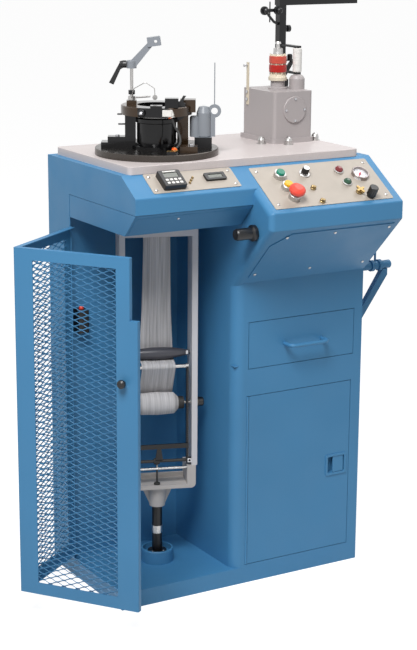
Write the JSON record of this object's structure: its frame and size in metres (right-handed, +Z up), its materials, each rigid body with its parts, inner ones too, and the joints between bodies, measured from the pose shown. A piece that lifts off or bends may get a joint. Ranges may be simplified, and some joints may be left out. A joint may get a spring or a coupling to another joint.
{
  "type": "sample knitting machine",
  "caption": "Cabinet circular knitter for cloth samples: knitting head on a table, sloped control panel, hinged mesh guard, turning take-down yoke, drawer and cupboard.",
  "frame": {"origin": "centre of the cabinet's footprint, on the floor", "axes": "+Z up, -Y towards the operator, +X to the machine's right as the operator faces it"},
  "size_m": [1.0978, 0.5428, 1.458],
  "materials": {
    "cabinet_blue": "satin paint",
    "table_grey": "satin laminate",
    "panel_beige": "satin anodised",
    "black_plastic": "matt",
    "bright_steel": "bright",
    "chrome": "polished",
    "black_steel": "blackened",
    "cast_grey": "painted light grey",
    "rail_grey": "satin paint",
    "gearbox_grey": "satin paint",
    "black_paint": "satin paint",
    "cloth_white": "knitted",
    "yarn_white": "wound",
    "green_plastic": "gloss",
    "yellow_plastic": "gloss",
    "red_plastic": "gloss",
    "red_lens": "gloss",
    "green_lens": "gloss",
    "brass": "bright",
    "copper_reel": "gloss",
    "rubber_black": "matt",
    "hose_black": "matt",
    "motor_grey": "satin"
  },
  "bodies": {
    "cabinet": {"air_hose": "hose_black", "back_panel": "cabinet_blue", "bay_liner": "cabinet_blue", "cam_housing": "black_steel", "console_cover": "cabinet_blue", "console_plate": "panel_beige", "creel_frame": "cabinet_blue", "drive_belt": "rubber_black", "drive_motor": "motor_grey", "fasteners": "bright_steel", "floor_bearing": "black_steel", "gearbox": "gearbox_grey", "green_lamp": "green_lens", "head_motor": "motor_grey", "hose_fittings": "chrome", "interlock_switch": "black_plastic", "left_hood": "cabinet_blue", "lower_hood_cover": "cabinet_blue", "panel_fittings": "chrome", "panel_instruments": "black_plastic", "pedestal": "cabinet_blue", "piano_hinges": "cabinet_blue", "red_lamp": "red_lens", "ring_plate": "black_steel", "table_top": "table_grey", "timer_plate": "panel_beige", "yarn_stand": "black_paint"},
    "guard": {"guard_frame": "cabinet_blue", "guard_mesh": "cabinet_blue", "guard_knob": "black_plastic"},
    "cupboard_door": {"cupboard_door": "cabinet_blue"},
    "latch_paddle": {"latch_paddle": "bright_steel"},
    "drawer": {"drawer_box": "cabinet_blue"},
    "green_button": {"green_button": "green_plastic"},
    "yellow_button": {"yellow_button": "yellow_plastic"},
    "emergency_button": {"emergency_button": "red_plastic"},
    "speed_knob": {"speed_knob": "black_plastic"},
    "regulator_knob": {"regulator_knob": "black_plastic"},
    "selector_upper": {"selector_upper": "brass"},
    "selector_lower": {"selector_lower": "brass"},
    "brass_switch": {"brass_switch": "brass"},
    "gauge_needle": {"gauge_needle": "bright_steel"},
    "side_knob": {"side_knob": "black_plastic"},
    "rotor": {"drive_tube": "rail_grey", "needle_cylinder": "bright_steel", "yoke_rails": "rail_grey", "yoke_rods": "bright_steel", "bottom_casting": "cast_grey", "yoke_column": "black_steel", "fabric_tube": "cloth_white"},
    "spreader_roller": {"spreader_roller": "black_steel"},
    "takeup": {"takeup_roll": "cloth_white", "takeup_axle": "bright_steel"},
    "press_lever": {"press_lever": "black_steel"},
    "motor_pulley": {"motor_pulley": "motor_grey"},
    "feeder_reel": {"feeder_reel": "copper_reel"},
    "yarn_roll": {"yarn_roll": "yarn_white"},
    "swing_arm": {"swing_arm": "black_steel"},
    "clamp_lever": {"clamp_lever": "bright_steel"},
    "wire_bail": {"wire_bail": "bright_steel"}
  },
  "joints": [
    {"name": "guard_swing", "type": "hinge", "parent": "cabinet", "child": "guard", "pos_m": [-0.349, 0.0695, 0.49], "axis": [0, 0, -1], "range_deg": [-54, 90]},
    {"name": "cupboard_swing", "type": "hinge", "parent": "cabinet", "child": "cupboard_door", "pos_m": [0.007, -0.1905, 0.273], "axis": [0, 0, -1], "range_deg": [0, 110]},
    {"name": "latch_pull", "type": "hinge", "parent": "cupboard_door", "child": "latch_paddle", "pos_m": [0.298, -0.1875, 0.275], "axis": [0, 0, 1], "range_deg": [0, 30], "stiffness_Nm_per_rad": 0.3, "springref_deg": -5.73},
    {"name": "drawer_slide", "type": "slide", "parent": "cabinet", "child": "drawer", "axis": [0, -1, 0], "range_m": [0, 0.25]},
    {"name": "green_press", "type": "slide", "parent": "cabinet", "child": "green_button", "axis": [0, 0.5387, -0.8425], "range_m": [0, 0.004], "stiffness_N_per_m": 600, "springref_m": -0.002},
    {"name": "yellow_press", "type": "slide", "parent": "cabinet", "child": "yellow_button", "axis": [0, 0.5387, -0.8425], "range_m": [0, 0.004], "stiffness_N_per_m": 600, "springref_m": -0.002},
    {"name": "emergency_press", "type": "slide", "parent": "cabinet", "child": "emergency_button", "axis": [0, 0.5387, -0.8425], "range_m": [0, 0.006], "stiffness_N_per_m": 800, "springref_m": -0.002},
    {"name": "speed_turn", "type": "hinge", "parent": "cabinet", "child": "speed_knob", "pos_m": [0.128, -0.24119, 1.05234], "axis": [0, -0.5387, 0.8425], "range_deg": [-150, 150]},
    {"name": "regulator_turn", "type": "hinge", "parent": "cabinet", "child": "regulator_knob", "pos_m": [0.267, -0.3246, 0.99901], "axis": [0, -0.5387, 0.8425], "continuous": true},
    {"name": "selector_upper_turn", "type": "hinge", "parent": "cabinet", "child": "selector_upper", "pos_m": [0.1245, -0.28609, 1.02363], "axis": [0, -0.5387, 0.8425], "range_deg": [-45, 45]},
    {"name": "selector_lower_turn", "type": "hinge", "parent": "cabinet", "child": "selector_lower", "pos_m": [0.1245, -0.32653, 0.99777], "axis": [0, -0.5387, 0.8425], "range_deg": [-45, 45]},
    {"name": "brass_turn", "type": "hinge", "parent": "cabinet", "child": "brass_switch", "pos_m": [0.244, -0.30968, 1.00854], "axis": [0, -0.5387, 0.8425], "range_deg": [0, 90]},
    {"name": "gauge_sweep", "type": "hinge", "parent": "cabinet", "child": "gauge_needle", "pos_m": [0.28, -0.25888, 1.04103], "axis": [0, 0.5387, -0.8425], "range_deg": [0, 270], "stiffness_Nm_per_rad": 0.0005, "springref_deg": -11.46},
    {"name": "side_knob_turn", "type": "hinge", "parent": "cabinet", "child": "side_knob", "pos_m": [-0.0325, -0.2792, 0.9299], "axis": [-1, 0, 0], "range_deg": [-90, 90]},
    {"name": "rotor_spin", "type": "hinge", "parent": "cabinet", "child": "rotor", "pos_m": [-0.165, -0.0345, 0], "axis": [0, 0, 1], "continuous": true},
    {"name": "spreader_spin", "type": "hinge", "parent": "rotor", "child": "spreader_roller", "pos_m": [-0.165, -0.0345, 0.594], "axis": [0.9415, -0.3371, 0], "continuous": true},
    {"name": "takeup_spin", "type": "hinge", "parent": "rotor", "child": "takeup", "pos_m": [-0.165, -0.0345, 0.463], "axis": [0.9415, -0.3371, 0], "continuous": true},
    {"name": "press_swing", "type": "hinge", "parent": "rotor", "child": "press_lever", "pos_m": [-0.17309, -0.0571, 0.318], "axis": [0.9415, -0.3371, 0], "range_deg": [-3.5, 0]},
    {"name": "motor_spin", "type": "hinge", "parent": "cabinet", "child": "motor_pulley", "pos_m": [-0.165, 0.1155, 0], "axis": [0, 0, 1], "continuous": true},
    {"name": "reel_spin", "type": "hinge", "parent": "cabinet", "child": "feeder_reel", "pos_m": [0.232, 0.0425, 0], "axis": [0, 0, 1], "continuous": true},
    {"name": "roll_spin", "type": "hinge", "parent": "cabinet", "child": "yarn_roll", "pos_m": [0.278, 0.0225, 0], "axis": [0, 0, 1], "continuous": true},
    {"name": "arm_swing", "type": "hinge", "parent": "cabinet", "child": "swing_arm", "pos_m": [-0.21659, -0.00387, 1.303], "axis": [0, 0, 1], "range_deg": [-90, 90]},
    {"name": "clamp_turn", "type": "hinge", "parent": "swing_arm", "child": "clamp_lever", "pos_m": [-0.22725, 0.00246, 1.3125], "axis": [0.8599, -0.5105, 0], "range_deg": [-60, 60]},
    {"name": "bail_swing", "type": "hinge", "parent": "cabinet", "child": "wire_bail", "pos_m": [-0.21659, -0.00387, 1.2165], "axis": [0, 0, 1], "range_deg": [-12, 20]}
  ],
  "couplings": [
    {"joint": "motor_spin", "follows": "rotor_spin", "ratio": 3.2}
  ]
}
